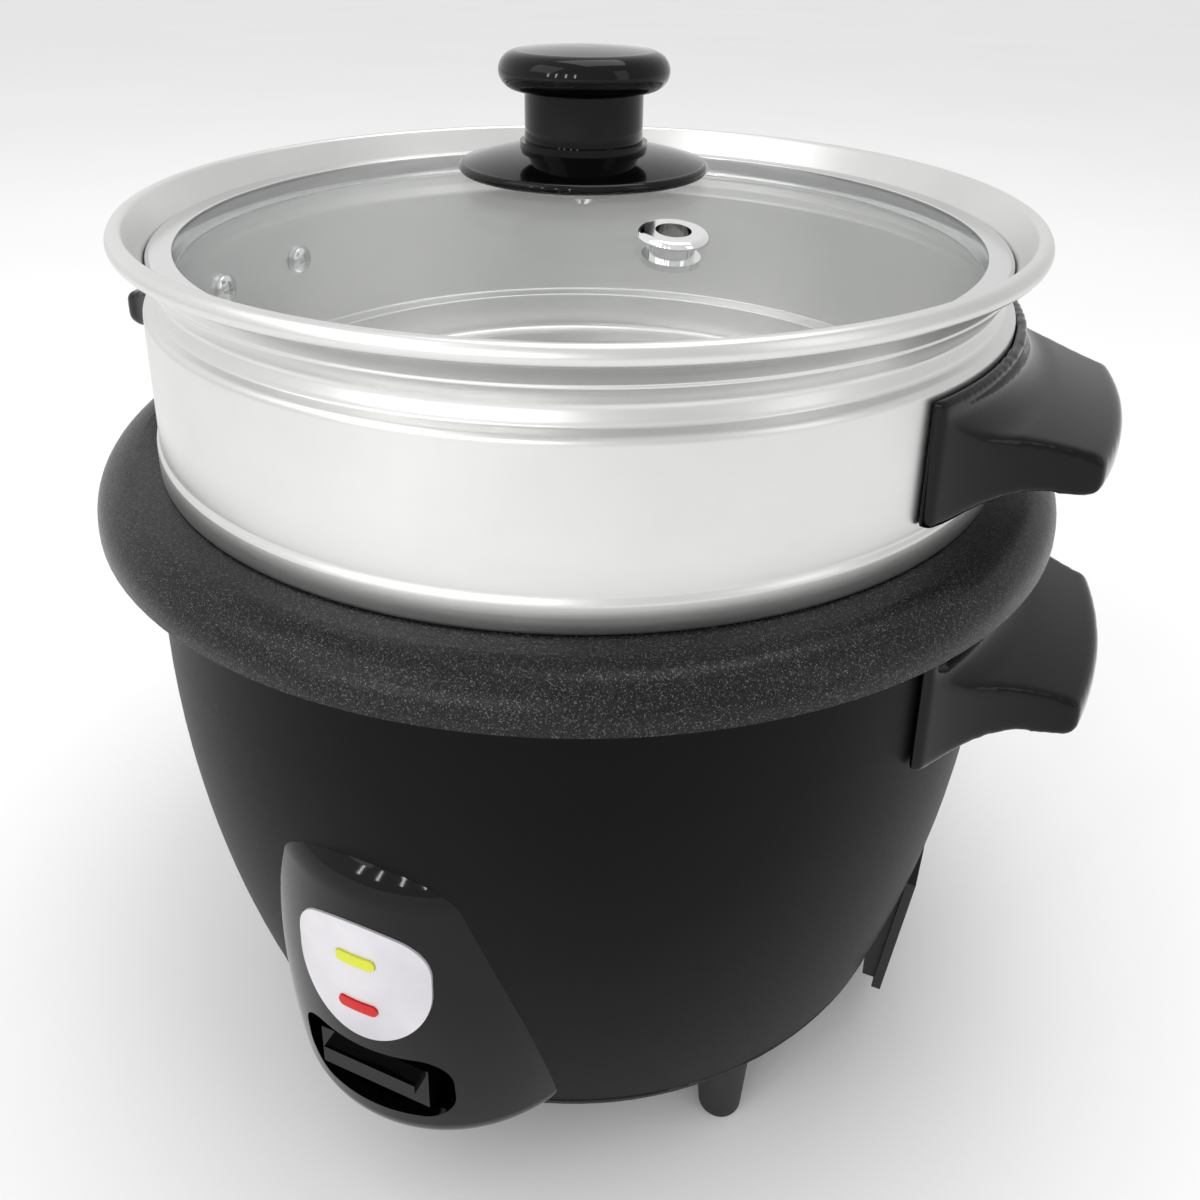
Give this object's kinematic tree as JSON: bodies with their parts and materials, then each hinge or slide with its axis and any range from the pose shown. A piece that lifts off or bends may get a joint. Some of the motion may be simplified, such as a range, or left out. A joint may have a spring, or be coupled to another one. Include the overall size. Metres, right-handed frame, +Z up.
{
  "type": "rice cooker",
  "caption": "Round electric rice cooker with a lift-out pot, a steamer tray on its rim, a domed glass lid with knob, side handles and a nose-shaped front panel with a cook lever.",
  "frame": {"origin": "on the floor, under the axis of the pot", "axes": "+Z up the pot's axis, -Y to the front with the control panel, +X to the handle on the right"},
  "size_m": [0.2524, 0.227, 0.2387],
  "materials": {
    "body_paint": "satin black enamel on steel",
    "panel_gloss": "polished black moulding",
    "handle_gloss": "polished black phenolic moulding",
    "knob_gloss": "polished black phenolic moulding",
    "base_plastic": "fine-textured black moulding",
    "foot_rubber": "matt black",
    "liner_steel": "plain galvanised sheet",
    "pot_coating": "charcoal non-stick with metallic flecks",
    "tray_aluminium": "satin, lightly spun",
    "plate_aluminium": "cast, machined top",
    "steel": "bright zinc plated",
    "chrome": "mirror",
    "ring_steel": "polished stainless",
    "glass": "clear toughened",
    "badge_silver": "silver-white satin",
    "lens_yellow": "translucent yellow-green",
    "lens_red": "translucent red",
    "bulb_glass": "clear",
    "gasket": "clear silicone",
    "magnet": "dark sintered",
    "brass": "plain",
    "white_ceramic": "glazed insulator white"
  },
  "bodies": {
    "housing": {"outer_body": "body_paint", "base_plate": "base_plastic", "base_posts": "steel", "base_screws": "steel", "feet": "foot_rubber", "inner_liner": "liner_steel", "heating_plate": "plate_aluminium", "plate_spacers": "steel", "plate_screws": "steel", "heating_element": "steel", "sensor_guide": "steel", "sensor_spring": "steel", "lever_bracket": "steel", "pivot_pin": "steel", "control_panel": "panel_gloss", "panel_badge": "badge_silver", "warm_lamp_lens": "lens_yellow", "cook_lamp_lens": "lens_red", "lamp_holder": "white_ceramic", "indicator_bulbs": "bulb_glass", "inlet_housing": "base_plastic", "inlet_pins": "brass", "inlet_bezel": "base_plastic", "contact_block": "base_plastic", "terminal_block": "white_ceramic", "thermal_fuse": "white_ceramic", "body_handle_right": "handle_gloss", "body_handle_left": "handle_gloss", "body_handle_screws": "steel"},
    "pot": {"inner_pot": "pot_coating"},
    "steamer": {"steamer_tray": "tray_aluminium", "steamer_handle_right": "handle_gloss", "steamer_handle_left": "handle_gloss", "steamer_handle_screws": "ring_steel"},
    "lid": {"lid_ring": "ring_steel", "lid_glass": "glass", "vent_grommet": "chrome", "lid_knob": "knob_gloss", "knob_gasket": "gasket", "knob_washer": "ring_steel", "knob_screw": "ring_steel"},
    "lever": {"lever_arm": "steel", "lever_tab": "panel_gloss"},
    "magnet": {"magnet_carrier": "steel", "lift_magnet": "magnet"},
    "sensor": {"sensor_cap": "plate_aluminium"}
  },
  "joints": [
    {"name": "pot_lift", "type": "slide", "parent": "housing", "child": "pot", "axis": [0, 0, 1], "range_m": [0, 0.14]},
    {"name": "steamer_lift", "type": "slide", "parent": "pot", "child": "steamer", "axis": [0, 0, 1], "range_m": [0, 0.1]},
    {"name": "lid_lift", "type": "slide", "parent": "steamer", "child": "lid", "axis": [0, 0, 1], "range_m": [0, 0.1]},
    {"name": "cook_lever", "type": "hinge", "parent": "housing", "child": "lever", "pos_m": [0, -0.062, 0.027], "axis": [1, 0, 0], "range_deg": [0, 4.5], "stiffness_Nm_per_rad": 0.5, "springref_deg": -2.86},
    {"name": "magnet_lift", "type": "slide", "parent": "housing", "child": "magnet", "axis": [0, 0, 1], "range_m": [0, 0.005]},
    {"name": "sensor_press", "type": "slide", "parent": "housing", "child": "sensor", "axis": [0, 0, 1], "range_m": [-0.003, 0], "stiffness_N_per_m": 200, "springref_m": 0.004, "deforming": ["sensor_spring"]}
  ],
  "couplings": [
    {"joint": "magnet_lift", "follows": "cook_lever", "m_per_rad": 0.062}
  ]
}
